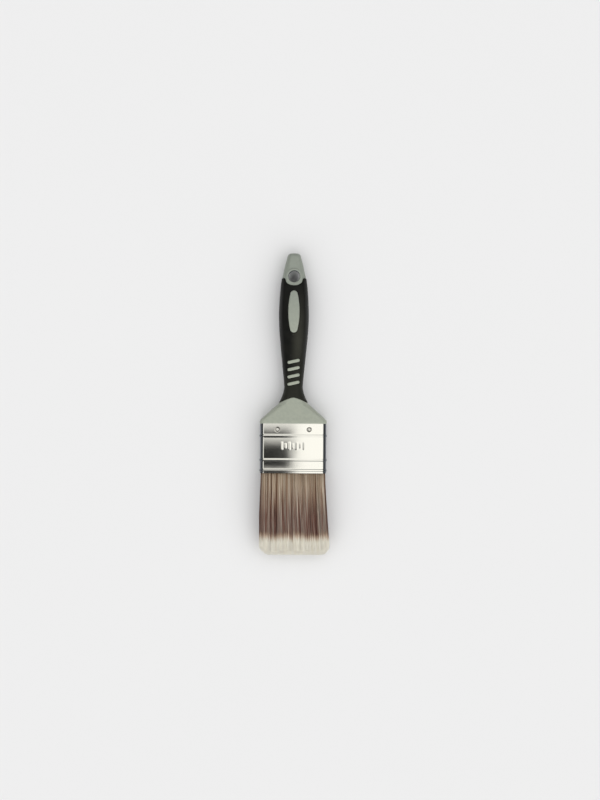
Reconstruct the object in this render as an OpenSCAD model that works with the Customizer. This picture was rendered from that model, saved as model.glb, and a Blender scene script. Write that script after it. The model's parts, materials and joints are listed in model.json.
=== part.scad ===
// Flat filament paint brush with a two-shot soft-grip handle, lying on its back.
// +X runs across the brush, +Y towards the hanging end and +Z up, with the origin under its middle.
// Every piece is drawn standing on its head: z 0 is where the ferrule meets the handle,
// the handle rises along +z, the filaments hang along -z, and the front faces -y.

/* [Brush head] */
// Width of the brush, across the ferrule
brush_w = 50; // [40:1:70]
// Thickness of the ferrule, without its beads
ferrule_t = 16; // [14:0.5:20]
// Length of the ferrule, from its mouth to the handle
ferrule_l = 37.5; // [31:0.5:50]
// Length of the filaments outside the ferrule
filament_out = 62.5; // [40:0.5:80]
// How far each side of the filaments flares out, past the ferrule, at their ends
filament_flare = 2; // [0.5:0.25:4]
// How far each face of the filaments swells out, past the ferrule
filament_swell = 0.4; // [0:0.1:0.5]
// Corner radius of the filaments' ends, seen from the front
filament_corner = 7; // [3:0.5:10]

/* [Ferrule] */
// Thickness of the ferrule's sheet metal
sheet = 0.5; // [0.4:0.05:0.7]
// Outside radius of the ferrule's upright corners
corner_r = 3; // [2.5:0.25:5]
// Height of the pressed beads above the ferrule's face
bead_proud = 0.5; // [0.3:0.05:0.6]
// Outside radius of a bead's round back
bead_r = 1.1; // [0.9:0.05:1.5]
// Height of the lower bead above the mouth
bead_low = 2.2; // [1.5:0.1:4]
// Height of the middle bead above the mouth
bead_middle = 10; // [7:0.5:12]
// Distance from the handle's seat down to the upper bead
bead_high = 9.2; // [8:0.1:12]

/* [Nails] */
// Distance between the two nails of a face
nail_spacing = 24; // [18:1:28]
// Distance from the handle's seat down to the nails
nail_drop = 4.5; // [4:0.1:5.5]
// Radius of a nail's head
nail_head_r = 1.2; // [1:0.05:1.5]
// Radius of a nail's shank
nail_shank_r = 0.75; // [0.6:0.05:0.9]
// Length of a nail's shank, under its head
nail_l = 6; // [4:0.25:6.5]
// Depth of the dimple that each head sits in
dimple_deep = 0.6; // [0.4:0.05:0.8]

/* [Handle] */
// Length of the handle, from the ferrule to its end
handle_l = 129; // [118:1:160]
// Widest part of the handle's grip
grip_w = 22.7; // [21:0.1:28]
// Thickest part of the handle's grip
grip_t = 16.8; // [15:0.1:20]
// Height of the neck above the ferrule
neck_z = 27.5; // [25:0.5:32]
// Step of the hard shoulder over the ferrule, on every side
shoulder_lip = 0.4; // [0.2:0.05:0.8]
// Radius of the handle's rounded end
end_r = 2.6; // [1.5:0.1:3.5]
// Length of the tang inside the ferrule
tang_l = 13; // [11:0.5:14]

/* [Soft grip] */
// Wall of the soft layer
grip_wall = 2; // [1.5:0.1:2.5]
// Height of the soft layer over the hard plastic next to it
grip_proud = 0.35; // [0.2:0.05:0.6]
// Height of the hard panel and stripes over the soft layer
island_proud = 0.1; // [0:0.05:0.3]
// Top of the round edge over the shoulder
dome_z = 19.8; // [18:0.1:22]
// Radius of that round edge
dome_r = 16; // [14:0.5:24]
// Half the width of the hard shoulder, where that edge meets the sides
foot_hw = 10.7; // [9:0.1:12]
// Space between the raised ring of the hanging hole and the soft layer's edge
arch_gap = 1; // [0.6:0.1:1.2]
// How far under the hole's centre that edge meets the sides
arch_drop = 1.5; // [0.5:0.1:3]

/* [Hanging hole] */
// Radius of the hanging hole
hole_r = 4.3; // [3:0.1:5.2]
// Distance from the handle's end to the hole's centre
hole_from_end = 17.5; // [15:0.1:20]
// Rounding of the hole's rim
rim_r = 0.5; // [0.3:0.1:0.8]
// Width of the raised ring around the hole
ring_w = 1.7; // [1.6:0.1:2.4]
// Depth of that ring, from its top into the hard plastic
ring_deep = 1.5; // [1.2:0.1:2.5]

/* [Panel and stripes] */
// Length of the oval panel
panel_l = 32; // [24:1:36]
// Width of the oval panel
panel_w = 8.7; // [6:0.1:10]
// Radius of the oval panel's ends
panel_end_r = 2.8; // [2:0.1:2.9]
// Distance from the handle's end to the oval panel's middle
panel_from_end = 44.2; // [44:0.1:48]
// Number of slanted stripes
stripes = 4; // [1:1:5]
// Height of the lowest stripe above the neck
stripe_up = 3.1; // [2:0.1:6]
// Distance between two stripes, up the handle
stripe_pitch = 5.5; // [4.5:0.1:6.5]
// Length of a stripe, with its round ends
stripe_l = 9.6; // [7:0.1:10]
// Width of a stripe
stripe_w = 2.4; // [1.6:0.1:3]
// Slope of a stripe, in degrees
stripe_slope = 13; // [0:1:25]

/* [Size marks] */
// Number of raised marks on the ferrule's front
marks = 7; // [3:2:9]
// Distance between two marks
mark_pitch = 2.8; // [2.4:0.1:3]
// Width of a mark
mark_w = 1; // [0.6:0.1:1.4]
// Length of the long marks, which take turns with short ones
mark_l = 5.5; // [4:0.5:8]
// Height of the marks over the ferrule's face
mark_proud = 0.25; // [0.15:0.05:0.4]
// How far the marks sit above the middle of the panel between the beads
mark_shift = 1.6; // [-2:0.1:3]

/* [Inside the ferrule] */
// Depth of the set resin behind the filaments
resin_l = 11; // [8:0.5:12]
// Length of the filaments' butts and of the plug in the resin
butt_l = 6; // [4:0.5:7]
// Wall of resin around the butts
butt_wall = 0.8; // [0.5:0.1:1.5]
// Thickness of the spacer plug between the two banks
plug_t = 3.2; // [2:0.1:5]
// Space between the plug's edges and the ferrule
plug_side = 4.5; // [3:0.5:8]
// Distance from the plug to the mouth
plug_back = 1.5; // [1:0.5:4]

/* [Fits] */
// Clearance of the tang in the ferrule
tang_gap = 0.1; // [0.05:0.05:0.2]
// Clearance of the filaments against the ferrule, the resin and the plug
bank_gap = 0.05; // [0.05:0.05:0.2]
// Clearance around a nail's shank
nail_gap = 0.03; // [0.02:0.01:0.1]
// Clearance around a nail's head, in its dimple
head_gap = 0.05; // [0.02:0.01:0.2]

/* [Hidden] */
$fn = 64;

// Where the pieces meet, from the handle's seat down
mouth_z = -ferrule_l;
end_z = mouth_z - filament_out;
resin_top = -tang_l;
resin_foot = resin_top - resin_l;
butt_top = resin_foot + butt_l;
plug_foot = mouth_z + plug_back;
hole_z = handle_l - hole_from_end;
panel_z = handle_l - panel_from_end;
stripe_z = neck_z + stripe_up;
ring_r = hole_r + ring_w;
arch_r = ring_r + arch_gap;
dome_foot = dome_z - dome_r + sqrt(dome_r * dome_r - foot_hw * foot_hw);
BEADS = [mouth_z + bead_low, mouth_z + bead_middle, -bead_high];
mark_z = (BEADS[1] + BEADS[2]) / 2 + mark_shift;

// The lying brush rests on its beads and on the back of the grip
filament_ht = ferrule_t / 2 + filament_swell;
mid_z = max(ferrule_t / 2 + bead_proud, grip_t / 2 + island_proud, filament_ht);
seat_y = (filament_out + ferrule_l - handle_l) / 2;

// A nail's domed head and its point
nail_head_h = 0.45;
nail_dome_r = 2.5;
nail_point = 1;

// Steps around a quarter of a section: its round side, then its flat face
SIDE_STEPS = 8;
FACE_STEPS = 7;
QUARTER = SIDE_STEPS + FACE_STEPS;
ROUNDNESS = 2.35;
box_r = corner_r + shoulder_lip;

// Outline of the handle over the soft layer. Each row holds the height, the half width, the half
// thickness, how far the round section would rise over its flat face, and how boxy it is.
shoulder_hw = brush_w / 2 + shoulder_lip + grip_proud;
shoulder_ht = ferrule_t / 2 + shoulder_lip + grip_proud;
foot_ht = grip_t / 2 * 0.78;
corner_z = 3.6;
OUTLINE = concat(
    [
        [0, shoulder_hw, shoulder_ht, 1.2, 1],
        [1.5, shoulder_hw - 0.05, shoulder_ht - 0.05, 1.2, 1],
        [2.6, shoulder_hw - 0.4, shoulder_ht - 0.2, 1.2, 1]
    ],
    [
        for (share = [0, 0.25, 0.75, 1]) [
            mix(corner_z, dome_foot, share),
            mix(shoulder_hw - 1.35, foot_hw + grip_proud, share),
            mix(shoulder_ht - 0.4, foot_ht, share),
            mix(1.2, 1.05, share),
            1 - 0.8 * share * share
        ]
    ],
    [
        [mix(dome_foot, neck_z, 0.35), foot_hw - 1.7, foot_ht - 0.3, 1.03, 0.03],
        [mix(dome_foot, neck_z, 0.65), grip_w / 2 * 0.68, foot_ht - 0.45, 1.02, 0]
    ],
    [
        for (row = [
            [0, 0.617, 0.715, 1.02],
            [0.04, 0.64, 0.725, 1.03],
            [0.12, 0.71, 0.785, 1.07],
            [0.27, 0.845, 0.89, 1.18],
            [0.42, 0.965, 0.97, 1.3],
            [0.53, 1, 1, 1.34],
            [0.64, 0.973, 0.95, 1.32],
            [0.73, 0.915, 0.845, 1.24],
            [0.81, 0.828, 0.735, 1.12],
            [0.86, 0.73, 0.7, 1.1],
            [0.91, 0.635, 0.675, 1.1],
            [0.97, 0.49, 0.61, 1.1],
            [1, 0.455, 0.56, 1.1]
        ]) [mix(neck_z, handle_l, row[0]), grip_w / 2 * row[1], grip_t / 2 * row[2], row[3], 0]
    ]
);

// Levels of the handle's rings: 0 seat, 1 lower edge of the grip, 2 its upper edge,
// 3 start of the rounded end, 4 the end itself
GRIP_RINGS = 24;
SHOULDER_LEVELS = [0, 0.08, 0.13, 0.18, 0.23, 0.35, 0.5, 0.65, 0.8, 0.92];
GRIP_LEVELS = [for (i = [0 : GRIP_RINGS]) 1 + i / GRIP_RINGS];
TIP_LEVELS = [for (i = [0 : 5]) 2 + i / 5];
END_LEVELS = [3.25, 3.5, 3.75, 4];
LIP_LEVEL = 0.004;
lip_inset = grip_proud / 3;

function mix(a, b, share) = a + (b - a) * share;
function clamp(value, low, high) = min(max(value, low), high);

// The outline's row at a height, on a smooth curve through the rows of the table
function slope_at(i) =
    let (a = OUTLINE[max(i - 1, 0)], b = OUTLINE[min(i + 1, len(OUTLINE) - 1)])
    (b - a) / (b[0] - a[0]);
function row_under(z, i = 0) =
    i == len(OUTLINE) - 2 || z < OUTLINE[i + 1][0] ? i : row_under(z, i + 1);
function outline_at(z) =
    let (
        i = row_under(z), a = OUTLINE[i], b = OUTLINE[i + 1], h = b[0] - a[0],
        u = (z - a[0]) / h, v = 1 - u
    )
    a * v * v * (1 + 2 * u) + slope_at(i) * h * u * v * v
    + b * u * u * (3 - 2 * u) - slope_at(i + 1) * h * u * u * v;

// Half the thickness at the hanging hole
hole_ht = outline_at(hole_z)[2];

// Point i of a quarter section: a round side that is cut off by a flat face
function round_point(i, hw, ht, crown) =
    let (
        power = 2 / ROUNDNESS,
        crease = asin(pow(1 / crown, 1 / power)),
        turn = crease * min(i / SIDE_STEPS, 1),
        face = max(i - SIDE_STEPS, 0) / FACE_STEPS
    )
    [hw * pow(cos(turn), power) * (1 - face), ht * min(crown * pow(sin(turn), power), 1)];
function box_point(i, hw, ht) =
    let (
        turn = 90 * clamp((i - 1) / (SIDE_STEPS - 1), 0, 1),
        face = max(i - SIDE_STEPS, 0) / FACE_STEPS
    )
    [(hw - box_r + box_r * cos(turn)) * (1 - face), i == 0 ? 0 : ht - box_r + box_r * sin(turn)];
function quarter_point(i, row, inset) =
    let (hw = row[1] - inset, ht = row[2] - inset, box = clamp(row[4], 0, 1))
    mix(round_point(i, hw, ht, max(row[3], 1.01)), box_point(i, hw, ht), box);

// Point k of a whole section at height z, counted around from the right edge
function section_point(k, z, inset) =
    let (
        side = floor(k / QUARTER), step = k % QUARTER,
        p = quarter_point(side % 2 == 0 ? step : QUARTER - step, outline_at(z), inset)
    )
    [side == 1 || side == 2 ? -p[0] : p[0], side >= 2 ? -p[1] : p[1], z];

// Heights of the grip's two edges at point k
function across(k, z) = section_point(k, z, grip_proud)[0];
function dome_at(k) =
    let (x = min(abs(across(k, dome_foot)), foot_hw))
    dome_z - dome_r + sqrt(dome_r * dome_r - x * x);
function arch_at(k) =
    let (x = min(abs(across(k, hole_z - arch_drop)), arch_r))
    hole_z - max(arch_drop, sqrt(arch_r * arch_r - x * x));
function level_z(k, level) =
    level <= 1 ? level * dome_at(k)
    : level <= 2 ? mix(dome_at(k), arch_at(k), level - 1)
    : level <= 3 ? mix(arch_at(k), handle_l - end_r, level - 2)
    : handle_l - end_r + end_r * sin(90 * (level - 3));
function end_inset(level) = level <= 3 ? 0 : end_r * (1 - cos(90 * (level - 3)));
function ring(level, inset) = [
    for (k = [0 : 4 * QUARTER - 1])
        section_point(k, level_z(k, level), inset + end_inset(level))
];

// A skin over rings of equal length. It rises and is closed at both ends by fans, or it is a tube's
// closed loop, which rises along the inside and comes down along the outside.
module skin(rings, closed_loop = false) {
    n = len(rings[0]);
    last = len(rings) - 1;
    strips = closed_loop ? last : last - 1;
    points = [for (r = rings) each r];
    walls = [
        for (j = [0 : strips], k = [0 : n - 1])
            let (
                a = j * n + k, b = j * n + (k + 1) % n,
                c = ((j + 1) % (last + 1)) * n + k, d = ((j + 1) % (last + 1)) * n + (k + 1) % n
            )
            each closed_loop ? [[a, b, c], [b, d, c]] : [[a, c, b], [b, c, d]]
    ];
    foot = len(points);
    caps = closed_loop ? [] : [
        for (k = [0 : n - 1])
            each [[foot, k, (k + 1) % n], [foot + 1, last * n + (k + 1) % n, last * n + k]]
    ];
    hubs = closed_loop ? [] : [[0, 0, rings[0][0][2]], [0, 0, rings[last][0][2]]];
    polyhedron(points = concat(points, hubs), faces = concat(walls, caps), convexity = 6);
}

module rounded_rect(w, t, r) {
    square([w - 2 * r, t], center = true);
    square([w, t - 2 * r], center = true);
    for (x = [-1, 1], y = [-1, 1])
        translate([x * (w / 2 - r), y * (t / 2 - r)]) circle(r);
}

module capsule(l, w) {
    square([l - w, w], center = true);
    for (x = [-1, 1])
        translate([x * (l - w) / 2, 0]) circle(w / 2);
}

// Two wide arcs that run into round ends, standing on its long axis
module oval(l, w, r) {
    reach = l / 2 - r;
    arc_r = (reach * reach / (w / 2 - r) + w / 2 + r) / 2;
    meet = arc_r * reach / (arc_r - r);
    intersection() {
        square([w, 2 * meet], center = true);
        translate([arc_r - w / 2, 0]) circle(arc_r, $fn = 256);
        translate([w / 2 - arc_r, 0]) circle(arc_r, $fn = 256);
    }
    for (z = [-1, 1])
        translate([0, z * reach]) circle(r);
}

// Lays the standing brush on its back, over the origin
module lay_down() {
    translate([0, seat_y, mid_z])
        rotate([-90, 0, 0])
            children();
}

// What fills the ferrule between two heights, with a gap to its sheet
module ferrule_fill(low, high, gap) {
    in = sheet + gap;
    translate([0, 0, low])
        linear_extrude(high - low)
            rounded_rect(brush_w - 2 * in, ferrule_t - 2 * in, corner_r - in);
}

// The strip between the two banks of filaments, grown all around
module plug(grow) {
    w = brush_w - 2 * (sheet + plug_side) + 2 * grow;
    translate([-w / 2, -plug_t / 2 - grow, plug_foot - grow])
        cube([w, plug_t + 2 * grow, butt_top - plug_foot + grow]);
}

// The filaments' ends in the resin, front and back
module bank_butts(gap) {
    in = sheet + butt_wall + gap;
    difference() {
        translate([0, 0, resin_foot - 1])
            linear_extrude(butt_l + 1 - gap)
                rounded_rect(brush_w - 2 * in, ferrule_t - 2 * in, corner_r - in);
        cube([brush_w, 2 * (plug_t / 2 + gap), 4 * ferrule_l], center = true);
    }
}

// Children are drawn at each nail, with +z out of the ferrule's face
module at_nails() {
    for (turn = [0, 180], x = [-0.5, 0.5])
        rotate([0, 0, turn])
            translate([x * nail_spacing, -ferrule_t / 2, -nail_drop])
                rotate([90, 0, 0])
                    children();
}

// A dimple pressed into the ferrule, with sides at 45 degrees, widened and deepened by grow
module dimple(grow) {
    floor_r = nail_head_r + head_gap + grow / 2;
    h = dimple_deep + grow + 1;
    translate([0, 0, -dimple_deep - grow])
        cylinder(h = h, r1 = floor_r, r2 = floor_r + h);
}

// The hard panel and stripes as straight bars through the soft layer, front and back
module island_bars() {
    for (turn = [0, 180])
        rotate([0, 0, turn])
            rotate([90, 0, 0])
                linear_extrude(grip_t) {
                    translate([0, panel_z]) oval(panel_l, panel_w, panel_end_r);
                    for (i = [0 : stripes - 1])
                        translate([0, stripe_z + i * stripe_pitch])
                            rotate(stripe_slope)
                                capsule(stripe_l, stripe_w);
                }
}

// Ring around the hanging hole, level with the soft layer on both faces
module hang_ring() {
    translate([0, 0, hole_z])
        for (face = [90, -90])
            rotate([face, 0, 0])
                rotate_extrude()
                    intersection() {
                        translate([0, hole_ht - ring_deep]) square([ring_r, ring_deep]);
                        rounded_rect(2 * ring_r, 2 * hole_ht, rim_r);
                    }
}

// The hanging hole with its rounded rims
module hang_cut() {
    translate([0, 0, hole_z])
        rotate([90, 0, 0]) {
            cylinder(h = 2 * grip_t, r = hole_r, center = true);
            for (side = [0, 180])
                rotate([side, 0, 0])
                    rotate_extrude()
                        difference() {
                            translate([0, hole_ht - rim_r]) square([hole_r + rim_r, 2 * rim_r]);
                            translate([hole_r + rim_r, hole_ht - rim_r]) circle(rim_r);
                        }
        }
}

module handle_core() {
    color("#A5AA9B")
        lay_down()
            difference() {
                union() {
                    skin(concat(
                        [for (t = SHOULDER_LEVELS) ring(t, grip_proud)],
                        [ring(1, grip_proud)],
                        [for (t = GRIP_LEVELS) ring(t, grip_wall)],
                        [for (t = TIP_LEVELS) ring(t, grip_proud)],
                        [for (t = END_LEVELS) ring(t, grip_proud)]
                    ));
                    intersection() {
                        island_bars();
                        skin([for (t = GRIP_LEVELS) ring(t, -island_proud)]);
                    }
                    ferrule_fill(-tang_l, 1, tang_gap);
                    hang_ring();
                }
                hang_cut();
                at_nails() {
                    dimple(sheet + tang_gap);
                    translate([0, 0, -dimple_deep - nail_l - nail_gap])
                        cylinder(h = nail_l, r = nail_shank_r + nail_gap);
                }
            }
}

module soft_grip() {
    color("#232421")
        lay_down()
            difference() {
                skin(
                    concat(
                        [for (t = GRIP_LEVELS) ring(t, grip_wall)],
                        [ring(2, grip_proud), ring(2, lip_inset), ring(2 - LIP_LEVEL, 0)],
                        [for (i = [GRIP_RINGS - 1 : -1 : 1]) ring(GRIP_LEVELS[i], 0)],
                        [ring(1 + LIP_LEVEL, 0), ring(1, lip_inset), ring(1, grip_proud)]
                    ),
                    closed_loop = true
                );
                island_bars();
            }
}

// The ferrule's wall with its three beads, measured out from the centre of a corner
module ferrule_profile() {
    inside = corner_r - sheet;
    centre = corner_r + bead_proud - bead_r;
    difference() {
        union() {
            translate([inside, mouth_z]) square([sheet, ferrule_l]);
            intersection() {
                translate([inside, mouth_z]) square([2 * bead_r, ferrule_l]);
                for (z = BEADS)
                    translate([centre, z]) circle(bead_r);
            }
        }
        for (z = BEADS)
            translate([centre, z]) circle(bead_r - sheet);
    }
}

module ferrule() {
    side = brush_w / 2 - corner_r;
    face = ferrule_t / 2 - corner_r;
    color("#D9D8CF")
        lay_down()
            difference() {
                union() {
                    for (i = [0 : 3])
                        rotate([0, 0, 90 * i]) {
                            out = i % 2 == 0 ? side : face;
                            half = i % 2 == 0 ? face : side;
                            translate([out, 0, 0])
                                rotate([90, 0, 0])
                                    linear_extrude(2 * half, center = true) ferrule_profile();
                            translate([out, half, 0])
                                rotate_extrude(angle = 90) ferrule_profile();
                        }
                    intersection() {
                        at_nails()
                            dimple(sheet);
                        ferrule_fill(mouth_z, 0, -sheet / 2);
                    }
                    for (i = [0 : marks - 1])
                        translate([(i - (marks - 1) / 2) * mark_pitch, -ferrule_t / 2, mark_z])
                            rotate([90, 90, 0])
                                translate([0, 0, -sheet / 2])
                                    linear_extrude(sheet / 2 + mark_proud)
                                        capsule(i % 2 == 0 ? mark_l : mark_l * 0.6, mark_w);
                }
                at_nails() {
                    dimple(0);
                    cylinder(h = nail_l, r = nail_shank_r + nail_gap, center = true);
                }
            }
}

module ferrule_nails() {
    color("#C9C6B8")
        lay_down()
            at_nails()
                translate([0, 0, -dimple_deep]) {
                    intersection() {
                        cylinder(h = nail_head_h, r = nail_head_r);
                        translate([0, 0, nail_head_h - nail_dome_r]) sphere(nail_dome_r);
                    }
                    translate([0, 0, nail_point - nail_l])
                        cylinder(h = nail_l - nail_point + nail_head_h / 2, r = nail_shank_r);
                    translate([0, 0, -nail_l])
                        cylinder(h = nail_point, r1 = nail_shank_r / 4, r2 = nail_shank_r);
                }
}

module spacer_plug() {
    color("#B98F5E")
        lay_down()
            plug(0);
}

module resin_set() {
    color("#C8A96A")
        lay_down()
            difference() {
                ferrule_fill(resin_foot, resin_top, 0);
                bank_butts(0);
                plug(0);
            }
}

// One bank of filaments: its butts in the resin, its body in the ferrule and its free length
module filament_bank(turn) {
    hw = brush_w / 2 - sheet - bank_gap;
    ht = ferrule_t / 2 - sheet - bank_gap;
    end_hw = brush_w / 2 + filament_flare;
    lay_down()
        rotate([0, 0, turn])
            intersection() {
                translate([-brush_w, -ferrule_t, end_z - 1])
                    cube([2 * brush_w, ferrule_t - bank_gap, 2 * (filament_out + ferrule_l)]);
                union() {
                    difference() {
                        union() {
                            bank_butts(bank_gap);
                            ferrule_fill(mouth_z - 0.5, resin_foot, bank_gap);
                        }
                        plug(bank_gap);
                    }
                    intersection() {
                        rotate([90, 0, 0])
                            linear_extrude(2 * ferrule_t, center = true)
                                hull() {
                                    translate([-hw, mouth_z - 1]) square([2 * hw, 1]);
                                    for (x = [-1, 1])
                                        translate([x * (end_hw - filament_corner), end_z + filament_corner])
                                            circle(filament_corner);
                                }
                        rotate([90, 0, 90])
                            linear_extrude(2 * brush_w, center = true)
                                polygon([
                                    for (p = [[0, ht], [0.1, ht + 0.4], [0.4, filament_ht], [0.6, ht],
                                        [0.8, ht - 1.9], [0.97, 2.2], [1, 1.2]])
                                        [-p[1], mouth_z - p[0] * filament_out],
                                    [0, end_z],
                                    [0, mouth_z]
                                ]);
                    }
                }
            }
}

module filament_front_bank() {
    color("#8F7463") filament_bank(0);
}

module filament_rear_bank() {
    color("#8F7463") filament_bank(180);
}

handle_core();
soft_grip();
ferrule();
ferrule_nails();
spacer_plug();
resin_set();
filament_front_bank();
filament_rear_bank();
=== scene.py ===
# A 50 mm flat paint brush lying on its back on a pale table, seen from straight above.
import json
import math

import bpy
import numpy as np
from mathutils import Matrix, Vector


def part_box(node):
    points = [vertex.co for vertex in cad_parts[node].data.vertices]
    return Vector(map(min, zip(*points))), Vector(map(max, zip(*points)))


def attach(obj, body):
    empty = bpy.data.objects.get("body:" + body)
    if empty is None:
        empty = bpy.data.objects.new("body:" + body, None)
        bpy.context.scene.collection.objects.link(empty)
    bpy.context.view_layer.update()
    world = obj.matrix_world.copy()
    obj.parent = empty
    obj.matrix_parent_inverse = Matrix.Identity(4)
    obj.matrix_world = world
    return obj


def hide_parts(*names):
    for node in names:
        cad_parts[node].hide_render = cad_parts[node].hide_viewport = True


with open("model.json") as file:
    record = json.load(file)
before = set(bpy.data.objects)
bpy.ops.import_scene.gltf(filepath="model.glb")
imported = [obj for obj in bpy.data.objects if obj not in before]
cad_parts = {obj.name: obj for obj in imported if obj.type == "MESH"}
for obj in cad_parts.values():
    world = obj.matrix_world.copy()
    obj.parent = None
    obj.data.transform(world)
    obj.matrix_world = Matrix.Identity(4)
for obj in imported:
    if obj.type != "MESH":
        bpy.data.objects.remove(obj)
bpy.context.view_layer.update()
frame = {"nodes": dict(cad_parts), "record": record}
nodes = frame["nodes"]
mm = 0.001
print("frame loaded:", len(nodes), "solids")

# Places every piece is built from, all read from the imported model
ferruleLow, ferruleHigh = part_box("ferrule")
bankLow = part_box("filament_front_bank")[0]
midZ = (ferruleLow.z + ferruleHigh.z) / 2
mouthY = ferruleLow.y
seatY = ferruleHigh.y
endY = bankLow.y


class Wire:  # one socket of a node tree, so that shader sums read as sums
    def __init__(self, tree, socket):
        self.tree = tree
        self.socket = socket

    def node(self, kind, settings=None, inputs=None, out=0):
        made = self.tree.nodes.new(kind)
        for name, value in (settings or {}).items():
            if name == "stops":
                ramp = made.color_ramp
                while len(ramp.elements) > 1:
                    ramp.elements.remove(ramp.elements[-1])
                for n, (place, colour) in enumerate(value):
                    stop = ramp.elements[0] if n == 0 else ramp.elements.new(place)
                    stop.position = place
                    stop.color = (*colour, 1) if len(colour) == 3 else colour
            else:
                setattr(made, name, value)
        for name, value in (inputs or {}).items():
            if isinstance(value, Wire):
                self.tree.links.new(value.socket, made.inputs[name])
            else:
                made.inputs[name].default_value = value
        return Wire(self.tree, made.outputs[out])

    def math(self, operation, a, b=None, c=None):
        inputs = {0: a}
        if b is not None:
            inputs[1] = b
        if c is not None:
            inputs[2] = c
        return self.node("ShaderNodeMath", {"operation": operation}, inputs)

    def __add__(self, other):
        return self.math("ADD", self, other)

    __radd__ = __add__

    def __sub__(self, other):
        return self.math("SUBTRACT", self, other)

    def __rsub__(self, other):
        return self.math("SUBTRACT", other, self)

    def __mul__(self, other):
        return self.math("MULTIPLY", self, other)

    __rmul__ = __mul__

    def __truediv__(self, other):
        return self.math("DIVIDE", self, other)

    def __pow__(self, other):
        return self.math("POWER", self, other)

    def __abs__(self):
        return self.math("ABSOLUTE", self)

    def least(self, other):
        return self.math("MINIMUM", self, other)

    def most(self, other):
        return self.math("MAXIMUM", self, other)

    def rise(self, low, high, before=0.0, after=1.0):  # smooth step from before to after
        return self.node(
            "ShaderNodeMapRange",
            {"interpolation_type": "SMOOTHSTEP"},
            {"Value": self, "From Min": low, "From Max": high, "To Min": before, "To Max": after},
        )

    def bell(self, centre, width):  # 1 at centre, 0 a width away on either side
        return 1 - abs(self - centre).rise(0, width)

    def mix(self, a, b):  # this wire is the share of colour b
        return self.node(
            "ShaderNodeMix", {"data_type": "RGBA"}, {0: self, 6: a, 7: b}, out=2
        )

    def scaled(self, x, y, z):
        return self.node(
            "ShaderNodeVectorMath", {"operation": "MULTIPLY"}, {0: self, 1: (x, y, z)}
        )

    def axis(self, name):
        return self.node("ShaderNodeSeparateXYZ", None, {0: self}, out=name)

    def noise(self, scale, detail=2.0, roughness=0.5):
        return self.node(
            "ShaderNodeTexNoise",
            None,
            {"Vector": self, "Scale": scale, "Detail": detail, "Roughness": roughness},
        )


def tint(colour, amount=1.0):
    return (colour[0] * amount, colour[1] * amount, colour[2] * amount, 1)


def newMaterial(name, finish, source="Object"):
    # constants go straight onto the shader's own sockets
    material = bpy.data.materials.new(name)
    material.use_nodes = True
    tree = material.node_tree
    shader = tree.nodes["Principled BSDF"]
    for socket, value in finish.items():
        shader.inputs[socket].default_value = value
    coords = tree.nodes.new("ShaderNodeTexCoord")
    return material, Wire(tree, coords.outputs[source])


def feed(material, **wires):
    tree = material.node_tree
    shader = tree.nodes["Principled BSDF"]
    names = {"colour": "Base Color", "roughness": "Roughness", "normal": "Normal"}
    for name, wire in wires.items():
        tree.links.new(wire.socket, shader.inputs[names[name]])


def bump(wire, distance, strength=1.0, normal=None):
    inputs = {"Height": wire, "Distance": distance, "Strength": strength}
    if normal is not None:
        inputs["Normal"] = normal
    return wire.node("ShaderNodeBump", None, inputs)


view = {
    "frameHeight": 606.6 * mm,  # how much of the table the frame covers, top to bottom
    "distance": 2.2,
    "centreX": 5.0 * mm,
    "centreY": 3.4 * mm,
    "roll": 0.35,
}
camera = bpy.data.cameras.new("camera")
camera.sensor_fit = "VERTICAL"
camera.sensor_height = 24
camera.lens = 24 * view["distance"] / view["frameHeight"]
camera.clip_end = 20
cameraObject = bpy.data.objects.new("camera", camera)
bpy.context.scene.collection.objects.link(cameraObject)
cameraObject.location = (view["centreX"], view["centreY"], view["distance"] + midZ)
cameraObject.rotation_euler = (0, 0, math.radians(view["roll"]))
bpy.context.scene.camera = cameraObject
print("camera placed")

stage = {
    "tableSize": 8.0,
    "tableColour": (0.80, 0.80, 0.80),
    "wash": 1.270,  # the soft even light on everything
    "washRight": 0.30,  # how much stronger it is from the right
    "washFront": 0.40,  # and from the side the filaments point to
    "lowFront": 1.2,  # a low light that reaches the filaments' ends
    "washLow": 0.06,  # its share near the horizon
    "overTop": 0.05,  # weaker straight above, so the hanging hole stays dark
    "softbox": 1.09,  # what the metal and the rubber mirror
    "fill": 0.9,
    "flag": 0.02,
    "lowSky": 0.12,
    "warm": (1, 0.99, 0.935, 1),
    "backdrop": 0.84,
}
bpy.ops.object.select_all(action="DESELECT")
bpy.ops.mesh.primitive_plane_add(size=stage["tableSize"])
table = bpy.context.object
table.name = "table"
tableFinish, place = newMaterial("table_paint", {"Roughness": 0.9, "Specular IOR Level": 0.1})
grain = place.noise(6, 2)
shades = [tint(stage["tableColour"], amount) for amount in (0.995, 1.005)]
feed(tableFinish, colour=grain.mix(*shades))
table.data.materials.append(tableFinish)

world = bpy.data.worlds.new("studio")
bpy.context.scene.world = world
world.use_nodes = True
sky = world.node_tree
skyCoords = sky.nodes.new("ShaderNodeTexCoord")
toward = Wire(sky, skyCoords.outputs["Generated"])
east, north, up = toward.axis("X"), toward.axis("Y"), toward.axis("Z")
wash = east * stage["washRight"] - north * stage["washFront"] + stage["wash"]
wash = wash * (1 - up.rise(0.93, 0.985) * (1 - stage["overTop"]))
wash = wash * up.rise(0.1, 0.6, stage["washLow"], 1)
fromFront = (north * -1).rise(0.3, 0.9) * (1 - up.rise(0.3, 0.6))
wash = wash + fromFront * stage["lowFront"]
softbox = east.rise(-0.03, 0.10) * (1 - east.rise(0.5, 0.66))
flag = east.rise(-0.48, -0.34) * (1 - east.rise(-0.07, 0.04))
flag = flag * (1 - north.rise(-0.03, 0.15)) * north.rise(-0.95, -0.85)
mirrored = (1 - softbox) * stage["fill"] + softbox * stage["softbox"]
mirrored = mirrored * (1 - flag) + flag * stage["flag"]
around = up.rise(0.45, 0.7)
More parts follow.
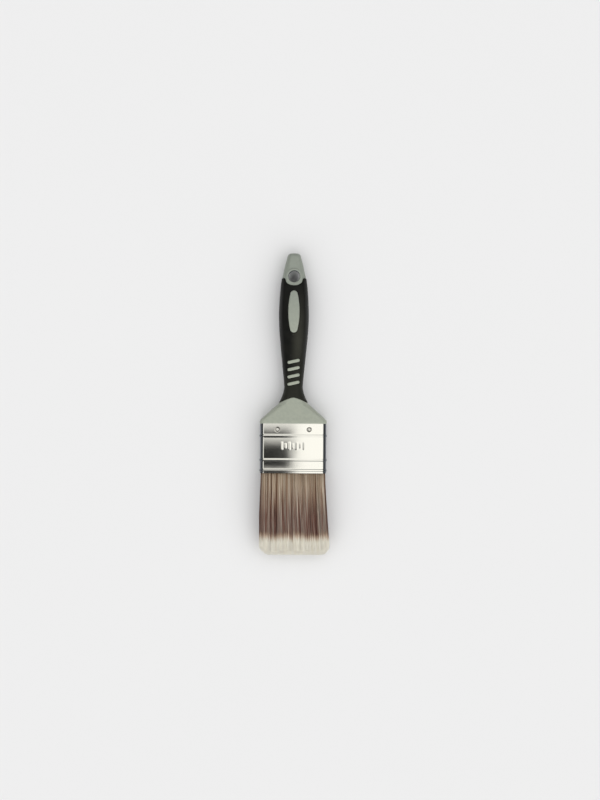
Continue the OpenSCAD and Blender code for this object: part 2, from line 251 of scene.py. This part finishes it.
mirrored = mirrored * around + (1 - around) * stage["lowSky"]
rays = Wire(sky, sky.nodes.new("ShaderNodeLightPath").outputs["Is Glossy Ray"])
seen = Wire(sky, sky.nodes.new("ShaderNodeLightPath").outputs["Is Camera Ray"])
light = mirrored * rays + wash * (1 - rays)
light = light * (1 - seen) + seen * stage["backdrop"]
background = sky.nodes["Background"]
sky.links.new(light.socket, background.inputs["Strength"])
hue = rays.mix((1, 1, 1, 1), stage["warm"])
sky.links.new(hue.socket, background.inputs["Color"])
bpy.context.scene.view_settings.view_transform = "Standard"
bpy.context.scene.view_settings.look = "None"
print("table and light set")


def only(piece):
    bpy.ops.object.select_all(action="DESELECT")
    piece.select_set(True)
    bpy.context.view_layer.objects.active = piece


def apply(piece, kind, **settings):
    modifier = piece.modifiers.new(kind.lower(), kind)
    for name, value in settings.items():
        setattr(modifier, name, value)
    only(piece)
    bpy.ops.object.modifier_apply(modifier=modifier.name)


def mergedCopy(nodeName, pieceName, angle=32, fine=None, rounding=6):
    # a CAD solid's shape as one connected skin
    only(nodes[nodeName])
    bpy.ops.object.duplicate()
    piece = bpy.context.object
    piece.name = pieceName
    piece.data.name = pieceName
    for key in list(piece.keys()):
        if key.startswith("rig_"):
            del piece[key]
    piece.parent = None
    bpy.ops.object.mode_set(mode="EDIT")
    bpy.ops.mesh.select_all(action="SELECT")
    bpy.ops.mesh.remove_doubles(threshold=2e-6)
    bpy.ops.object.mode_set(mode="OBJECT")
    if fine:  # moulded edges: finely rebuilt, then softened
        apply(piece, "REMESH", mode="VOXEL", voxel_size=fine)
        apply(piece, "SMOOTH", factor=0.5, iterations=rounding)
    bpy.ops.object.shade_smooth_by_angle(angle=math.radians(angle))
    return piece


def settle(piece, material, body, slot, *stands):
    piece.data.materials.clear()
    piece.data.materials.append(material)
    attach(piece, body)
    if stands:
        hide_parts(*stands)


greyPlastic = {
    "colour": (0.312, 0.338, 0.279),
    "dusty": (0.374, 0.396, 0.322),
    "tip": (0.235, 0.258, 0.220),
    # painted shade for the bore of the hanging hole
    "holeShade": (0.010, 0.018, 0.032),
    "holeRadius": 4.3 * mm,
    "roughness": 0.42,
    "grain": 2600,
}


def plasticFinish():
    material, at = newMaterial("hard_plastic_look", {"IOR": 1.49, "Specular IOR Level": 0.45})
    speckle = at.noise(greyPlastic["grain"], 3, 0.6)
    cloud = at.noise(420, 3, 0.6)
    share = speckle.rise(0.35, 0.65) * 0.4 + cloud.rise(0.3, 0.7) * 0.6
    colour = share.mix(tint(greyPlastic["colour"]), tint(greyPlastic["dusty"]))
    parting = abs(at.axis("Z") - midZ).rise(0.03 * mm, 0.12 * mm)
    towardsTip = at.axis("Y").rise(30 * mm, 100 * mm)
    tip = share.mix(tint(greyPlastic["tip"]), tint(greyPlastic["tip"], 1.15))
    colour = towardsTip.mix(colour, tip)
    hole = frame["record"]["mounts"][0]
    fromHole = at.node("ShaderNodeVectorMath", {"operation": "DISTANCE"},
                       {0: at.scaled(1, 1, 0), 1: (hole["pos_m"][0], hole["pos_m"][1], 0)}, out="Value")
    rim = greyPlastic["holeRadius"]
    # painted shade: the bore wall darkened almost to black
    boreShade = 1 - fromHole.rise(rim - 0.02 * mm, rim + 0.3 * mm)
    colour = boreShade.mix(colour, tint(greyPlastic["holeShade"]))
    height = speckle * 0.5 + parting * 2
    feed(
        material,
        colour=colour,
        roughness=share * 0.12 + (greyPlastic["roughness"] - 0.06),
        normal=bump(height, 0.02 * mm),
    )
    return material


blackRubber = {
    "colour": (0.0060, 0.0064, 0.0058),
    "worn": (0.012, 0.012, 0.010),
    "roughness": 0.40,
    # painted sheen: the lighter colour laid on the grip where it should catch light
    "paintedSheen": (0.040, 0.040, 0.031),
    "crown": 12,
    "grain": 3200,
}


def rubberFinish():
    material, at = newMaterial("soft_rubber_look", {"IOR": 1.17})
    fine = at.noise(blackRubber["grain"], 2, 0.6)
    cloud = at.noise(90, 3, 0.6)
    share = cloud.rise(0.35, 0.75) * 0.7 + fine.rise(0.4, 0.7) * 0.3
    dust = at.noise(900, 1).rise(0.76, 0.8)
    x, y = at.axis("X"), at.axis("Y")
    # painted sheen on the centre-right of the grip
    sheenPatch = x.bell(3.5 * mm, 7 * mm) * y.bell(52 * mm, 45 * mm) * (cloud * 0.6 + 0.5)
    sheenPatch = (sheenPatch + y.bell(6 * mm, 26 * mm) * 0.45).least(1)  # painted sheen, lighter again near the neck
    colour = sheenPatch.mix(
        share.mix(tint(blackRubber["colour"]), tint(blackRubber["worn"])), tint(blackRubber["paintedSheen"])
    )
    colour = (dust * 0.5).mix(colour, (0.12, 0.12, 0.11, 1))
    feed(
        material,
        colour=colour,
        roughness=share * 0.12 + (blackRubber["roughness"] - 0.05),
        normal=bump(fine * (0.015 * mm) - at.axis("X") ** 2 * blackRubber["crown"], 1.0),
    )
    return material


sheetShape = {
    "corner": 3 * mm,
    "cornerSteps": 8,
    "thickness": 0.5 * mm,
    "rings": (12, 11),  # first coarse, then each one again, along the brush
    "columns": 100,  # lines across each face
    "beadProud": 0.5 * mm,
    "beadHalf": 1.15 * mm,
    "nailX": 12 * mm,
    "nailDown": 4.5 * mm,
    "dimpleDeep": 0.55 * mm,
    "marks": 7,
    "markPitch": 2.8 * mm,
    "markWidth": 1.0 * mm,
    "markLength": 5.5 * mm,
    "markShift": 1.6 * mm,
    "markProud": 0.25 * mm,
}
nickel = {
    "colour": (0.90, 0.89, 0.85),
    # painted dark reflection, laid on the sheet's rounded corners
    "edge": (0.12, 0.13, 0.145),
    "dimpleShade": (0.10, 0.09, 0.07),  # painted shade, a dark ring in the nails' dimples
    "roughness": 0.11,
    "crownAcross": 125,  # larger is a rounder face, seen in its reflections
    "crownAlong": 0.016,  # the same, along the brush
    "beads": (2.2 * mm, 10 * mm, 28.3 * mm),  # up from the mouth
    "panels": ((0, 0), (-0.8, 0), (1, 0), (0.5, -0.03)),  # crown and lean of the sheet between them
}


def nickelFinish():
    material, at = newMaterial("ferrule_metal_look", {"Metallic": 1.0, "Specular IOR Level": 0.5})
    x, y = at.axis("X"), at.axis("Y")
    height = y - mouthY
    edges = [0, *nickel["beads"], (seatY - mouthY)]
    crown = None
    for low, high, (arch, lean) in zip(edges, edges[1:], nickel["panels"]):
        share = ((height - low) / (high - low)).most(0).least(1)
        part = share * (1 - share) * (4 * arch * (high - low) * nickel["crownAlong"])
        part = part + share * (lean * (high - low))
        crown = part if crown is None else crown + part
    crown = crown - x * x * (nickel["crownAcross"] / 50)
    wobble = at.noise(45, 2) * (0.10 * mm)
    scratch = at.scaled(1, 12, 1).noise(700, 2)
    # the rounded corners, where a dark reflection is painted into the colour
    side = abs(x).rise(22.5 * mm, 22.9 * mm) * abs(at.axis("Z") - midZ).rise(4.2 * mm, 5.4 * mm)
    toNail = (abs(x) - sheetShape["nailX"]) ** 2 + (y - seatY + sheetShape["nailDown"]) ** 2
    # painted shade: a dark ring round each nail dimple
    dimpleShade = toNail.math("SQRT", toNail).bell(1.55 * mm, 0.6 * mm) * 0.85
    colour = dimpleShade.mix(side.mix(tint(nickel["colour"]), tint(nickel["edge"])), tint(nickel["dimpleShade"]))
    feed(
        material,
        colour=colour,
        roughness=scratch * 0.08 + (nickel["roughness"] - 0.04),
        normal=bump(crown + wobble, 1.0),
    )
    return material


def nailFinish():
    material, at = newMaterial("nail_metal_look", {"Metallic": 1.0})
    wear = at.noise(900, 2)
    feed(
        material,
        colour=wear.mix((0.85, 0.84, 0.8, 1), (0.62, 0.61, 0.58, 1)),
        roughness=wear * 0.15 + 0.12,
        normal=bump(wear, 0.02 * mm),
    )
    return material


def woodFinish():
    material, at = newMaterial("plug_wood_look", {"Roughness": 0.7})
    rings = at.scaled(1, 0.05, 1).noise(900, 3)
    feed(
        material,
        colour=rings.mix((0.42, 0.27, 0.14, 1), (0.62, 0.45, 0.27, 1)),
        normal=bump(rings, 0.05 * mm),
    )
    return material


def resinFinish():
    material, at = newMaterial("resin_look", {"Roughness": 0.25})
    cloud = at.noise(250, 2)
    feed(
        material,
        colour=cloud.mix((0.30, 0.17, 0.06, 1), (0.42, 0.26, 0.10, 1)),
        normal=bump(cloud, 0.1 * mm),
    )
    return material


def pickVertices(piece, wanted):  # selects in edit mode by place
    bpy.ops.mesh.select_all(action="DESELECT")
    bpy.ops.object.mode_set(mode="OBJECT")
    co = np.empty(len(piece.data.vertices) * 3, np.float32)
    piece.data.vertices.foreach_get("co", co)
    chosen = wanted(co.reshape(-1, 3))
    piece.data.vertices.foreach_set("select", chosen)
    bpy.ops.object.mode_set(mode="EDIT")
    bpy.ops.mesh.select_mode(type="VERT")
    return int(chosen.sum())


def pickEdges(piece, wanted):
    bpy.ops.mesh.select_all(action="DESELECT")
    bpy.ops.mesh.select_mode(type="EDGE")
    bpy.ops.object.mode_set(mode="OBJECT")
    vertices = piece.data.vertices
    for edge in piece.data.edges:
        a, b = vertices[edge.vertices[0]].co, vertices[edge.vertices[1]].co
        edge.select = bool(wanted(a, b))
    bpy.ops.object.mode_set(mode="EDIT")


def ferruleSheet():
    shape = sheetShape
    width = (ferruleHigh.x - ferruleLow.x) - 2 * shape["beadProud"]
    depth = (ferruleHigh.z - ferruleLow.z) - 2 * shape["beadProud"]
    length = seatY - mouthY
    bpy.ops.object.select_all(action="DESELECT")
    bpy.ops.mesh.primitive_cube_add(size=1, location=(0, (seatY + mouthY) / 2, midZ), scale=(width, length, depth))
    piece = bpy.context.object
    piece.name = "ferrule_sheet"
    bpy.ops.object.transform_apply(location=True, rotation=False, scale=True)
    bpy.ops.object.mode_set(mode="EDIT")
    pickEdges(piece, lambda a, b: abs(a.y - b.y) > 1 * mm)
    bpy.ops.mesh.bevel(offset=shape["corner"], segments=shape["cornerSteps"], profile=0.5, affect="EDGES")
    bpy.ops.mesh.select_mode(type="FACE")  # the open ends
    bpy.ops.mesh.select_all(action="DESELECT")
    bpy.ops.object.mode_set(mode="OBJECT")
    for face in piece.data.polygons:
        face.select = abs(face.normal.y) > 0.9
    bpy.ops.object.mode_set(mode="EDIT")
    bpy.ops.mesh.delete(type="FACE")
    pickEdges(piece, lambda a, b: abs(a.x - b.x) > 20 * mm)  # lines across the two faces
    bpy.ops.mesh.subdivide(number_cuts=shape["columns"])
    pickEdges(piece, lambda a, b: abs(a.z - b.z) > 8 * mm)
    bpy.ops.mesh.subdivide(number_cuts=7)
    rings = 1
    for part in shape["rings"]:
        pickEdges(piece, lambda a, b: abs(a.y - b.y) > 0.1 * mm)
        bpy.ops.mesh.subdivide(number_cuts=part - 1)
        rings *= part
    rows = [mouthY + length * n / rings for n in range(rings + 1)]
    for row in rows:  # each bead is rolled ring by ring
        proud = max(
            (math.cos(math.pi * (row - mouthY - bead) / shape["beadHalf"] / 2) ** 1.3
             if abs(row - mouthY - bead) < shape["beadHalf"] else 0)
            for bead in nickel["beads"]
        )
        if proud > 0.02:
            pickVertices(piece, lambda co, row=row: np.abs(co[:, 1] - row) < 0.02 * mm)
            rise = 2 * proud * shape["beadProud"]
            bpy.ops.transform.resize(value=(1 + rise / width, 1, 1 + rise / depth), center_override=(0, row, midZ))
    for side in (1, -1):
        for x in (-shape["nailX"], shape["nailX"]):  # dimples under the nail heads
            pickVertices(piece, lambda co, x=x, side=side: (np.hypot(
                co[:, 0] - x, co[:, 1] - seatY + shape["nailDown"]) < 1.2 * mm) & ((co[:, 2] - midZ) * side > 5 * mm))
            bpy.ops.transform.translate(
                value=(0, 0, -side * shape["dimpleDeep"]), use_proportional_edit=True,
                proportional_edit_falloff="SMOOTH", proportional_size=0.75 * mm)
    middle = mouthY + (nickel["beads"][1] + nickel["beads"][2]) / 2 + shape["markShift"]
    for n in range(shape["marks"]):  # plain raised strokes on the front
        x = (n - (shape["marks"] - 1) / 2) * shape["markPitch"]
        tall = shape["markLength"] / 2 * (0.6 if n % 2 else 1)
        pickVertices(piece, lambda co, x=x, tall=tall: (np.abs(co[:, 0] - x) < shape["markWidth"] / 2)
                     & (np.abs(co[:, 1] - middle) < tall) & (co[:, 2] - midZ > 5 * mm))
        bpy.ops.transform.translate(
            value=(0, 0, shape["markProud"]), use_proportional_edit=True,
            proportional_edit_falloff="SMOOTH", proportional_size=0.45 * mm)
    bpy.ops.object.mode_set(mode="OBJECT")
    apply(piece, "SOLIDIFY", thickness=shape["thickness"], offset=-1)
    bpy.ops.object.shade_smooth_by_angle(angle=math.radians(50))
    return piece


strands = {
    "pieces": 4,
    "each": 5000,
    "diameter": 0.23 * mm,
    "rootHalf": 24.2 * mm,  # half the width at the ferrule, and at the ends
    "endHalf": 26.2 * mm,
    "corner": 7 * mm,
    "lean": 1.9 * mm,  # how far the ends drift to the right
    "creamLength": 13.5 * mm,
    "thickness": [(0, 7.35), (0.1, 7.7), (0.4, 8.15), (0.6, 7.4), (0.8, 5.9), (0.97, 3.3), (1, 2.6)],
    "rings": [0, 0.2, 0.4, 0.6, 0.8, 0.975, 1],
    "taper": [1, 1, 1, 0.98, 0.85, 0.5],
}


def filamentFinish():
    material = bpy.data.materials.new("filament_look")
    material.use_nodes = True
    tree = material.node_tree
    shader = tree.nodes["Principled BSDF"]
    shader.inputs["IOR"].default_value = 1.5
    shader.inputs["Specular IOR Level"].default_value = 0.35
    uvNode = tree.nodes.new("ShaderNodeUVMap")
    uvNode.uv_map = "strandMap"
    uv = Wire(tree, uvNode.outputs["UV"])
    across, along = uv.axis("X"), uv.axis("Y")
    lock = uv.scaled(26, 0.7, 1).noise(1, 1, 0.5)
    strip = uv.scaled(64, 1.0, 1).noise(1, 1, 0.6)
    fine = uv.scaled(190, 1.4, 1).noise(1, 1, 0.6)
    single = uv.scaled(2400, 0.4, 1).noise(1, 0)
    blend = (lock * 0.20 + strip * 0.27 + fine * 0.30 + single * 0.23 - 0.5) * 2.3 + 0.5
    near = blend.node("ShaderNodeValToRGB", {"stops": [
        (0.30, (0.10, 0.045, 0.022)), (0.40, (0.32, 0.20, 0.12)), (0.50, (0.50, 0.385, 0.27)),
        (0.60, (0.56, 0.46, 0.345)), (0.70, (0.80, 0.70, 0.56)),
    ]}, {0: blend})
    far = blend.node("ShaderNodeValToRGB", {"stops": [
        (0.30, (0.06, 0.022, 0.016)), (0.40, (0.20, 0.085, 0.060)), (0.50, (0.30, 0.20, 0.155)),
        (0.60, (0.30, 0.245, 0.21)), (0.70, (0.52, 0.43, 0.35)),
    ]}, {0: blend})
    # painted shade along both sides of the bundle
    sideShade = abs(across - 0.5).rise(0.455, 0.5) * 0.7
    body = sideShade.mix(along.rise(0.0, 0.62).mix(near, far), (0.10, 0.045, 0.030, 1))
    edge = along + (strip - 0.5) * 0.16 + (single - 0.5) * 0.10
    creamStart = 1 - strands["creamLength"] / (mouthY - endY)
    tan = edge.rise(creamStart - 0.075, creamStart - 0.01)
    cream = edge.rise(creamStart - 0.035, creamStart + 0.05)
    warm = lock.mix((0.93, 0.88, 0.74, 1), (0.97, 0.95, 0.88, 1))
    peach = strip.mix((0.42, 0.27, 0.19, 1), (0.66, 0.52, 0.37, 1))
    colour = cream.mix(tan.mix(body, peach), warm)
    feed(material, colour=colour, roughness=strip * 0.2 + 0.34)
    return material


def strandBundle(name, number):
    rng = np.random.default_rng(100 + number)
    count = strands["each"]
    length = mouthY - endY
    rootHalf, endHalf = strands["rootHalf"], strands["endHalf"]
    x0 = rng.uniform(-1, 1, count)
    q = rng.uniform(-1, 1, count)
    x0 = np.sign(x0) * np.minimum(np.abs(x0), 1 - 0.06 * np.maximum(np.abs(q) - 0.7, 0) / 0.3)
    steps = np.array(strands["rings"])
    share = np.array([p for p, t in strands["thickness"]])
    thick = np.array([t for p, t in strands["thickness"]]) * mm
    # each strand ends on the chiselled, round-cornered tip line
    cornerR = strands["corner"]
    over = np.maximum(np.abs(x0) * endHalf - (endHalf - cornerR), 0)
    drop = cornerR - np.sqrt(np.maximum(cornerR**2 - over**2, 0))
    reach = length - drop - 2.2 * mm * q**2 - np.abs(rng.normal(0, 0.6 * mm, count))
    inside = 4 * mm
    s = steps[None, :] * (reach + inside)[:, None]
    y = mouthY + inside - s
    p = np.clip((mouthY - y) / length, 0, 1)
    # locks: neighbours gather towards each other as they leave the ferrule
    pull = np.zeros((count, len(steps)))
    ridge = np.zeros((count, len(steps)))
    for wave, size in ((5.3, 0.30), (3.1, 0.32), (1.7, 0.28)):
        phase = 2.1 * wave + 1.3 * q * (1 if wave > 2 else 3)
        turn = 2 * np.pi * x0 * 25 / wave + phase
        pull += (-size * wave / (2 * np.pi) * np.sin(turn))[:, None] * np.clip(p * 1.8, 0, 1)
        ridge += (size * np.cos(turn))[:, None] * np.clip(p * 2.2, 0, 1)
    half = rootHalf + (endHalf - rootHalf) * p
    wander = np.cumsum(rng.normal(0, 0.13 * mm, (count, len(steps))), axis=1) * np.clip(p * 2, 0, 1)
    x = x0[:, None] * half + pull * mm + wander + strands["lean"] * p**1.6
    depth = np.interp(p, share, thick)
    z = midZ + q[:, None] * depth - np.sign(q)[:, None] * np.abs(q[:, None]) ** 2 * (0.35 - 0.5 * ridge) * mm
    z += np.cumsum(rng.normal(0, 0.06 * mm, (count, len(steps))), axis=1) * np.clip(p * 2, 0, 1)
    z = np.clip(z, 0.15 * mm, 2 * midZ - 0.2 * mm)
    centre = np.stack([x, y, z], axis=2)
    radius = strands["diameter"] / 2 * rng.uniform(0.8, 1.2, count)
    rings = len(steps) - 1  # the last step is the point
    start = rng.uniform(0, 2 * np.pi, count)
    vertices = []
    for side in range(3):
        angle = start + side * 2 * np.pi / 3
        offset = np.zeros((count, rings, 3))
        offset[:, :, 0] = np.cos(angle)[:, None] * radius[:, None] * np.array(strands["taper"])
        offset[:, :, 2] = np.sin(angle)[:, None] * radius[:, None] * np.array(strands["taper"])
        vertices.append(centre[:, :rings] + offset)
    tube = np.stack(vertices, axis=2).reshape(count, rings * 3, 3)
    points = np.concatenate([tube, centre[:, rings:]], axis=1)
    perStrand = rings * 3 + 1
    faces = []
    for ring in range(rings - 1):
        for side in range(3):
            a, b = ring * 3 + side, ring * 3 + (side + 1) % 3
            faces += [(a, b, b + 3), (a, b + 3, a + 3)]
    last = (rings - 1) * 3
    for side in range(3):
        faces.append((last + side, last + (side + 1) % 3, perStrand - 1))
    faces.append((2, 1, 0))
    faces = np.array(faces)
    allFaces = (faces[None] + (np.arange(count) * perStrand)[:, None, None]).reshape(-1, 3)
    mesh = bpy.data.meshes.new(name)
    mesh.from_pydata(points.reshape(-1, 3).tolist(), [], allFaces.tolist())
    mesh.update()
    layer = mesh.uv_layers.new(name="strandMap")
    u = np.repeat((x0 + 1) / 2, perStrand)
    v = np.zeros((count, perStrand))
    v[:, : rings * 3] = np.repeat(p[:, :rings], 3, axis=1)
    v[:, -1] = p[:, -1]
    uv = np.stack([u, v.reshape(-1)], axis=1)[allFaces.reshape(-1)]
    layer.data.foreach_set("uv", uv.astype(np.float32).reshape(-1))
    piece = bpy.data.objects.new(name, mesh)
    bpy.context.scene.collection.objects.link(piece)
    only(piece)
    bpy.ops.object.shade_smooth()
    return piece


plastic = plasticFinish()
rubber = rubberFinish()
metal = nickelFinish()

handle = mergedCopy("handle_core", "handle_shell", 60, fine=0.37 * mm)
settle(handle, plastic, "root", "hard_plastic", "handle_core")
grip = mergedCopy("soft_grip", "grip_sleeve", 60, fine=0.36 * mm)
settle(grip, rubber, "root", "soft_rubber", "soft_grip")
ferrule = ferruleSheet()
settle(ferrule, metal, "root", "ferrule_metal", "ferrule")
nails = mergedCopy("ferrule_nails", "nails")
settle(nails, nailFinish(), "root", "nail_metal", "ferrule_nails")
print("handle, grip and ferrule finished")

for name, finish in (("spacer_plug", woodFinish()), ("resin_set", resinFinish())):
    for slot in nodes[name].material_slots:
        slot.material = finish

bristle = filamentFinish()
for number in range(strands["pieces"]):
    bundle = strandBundle("filaments_%d" % (number + 1), number)
    stands = {0: ("filament_front_bank",), 1: ("filament_rear_bank",)}.get(number, ())
    settle(bundle, bristle, "root", "filaments", *stands)
print("filaments made")
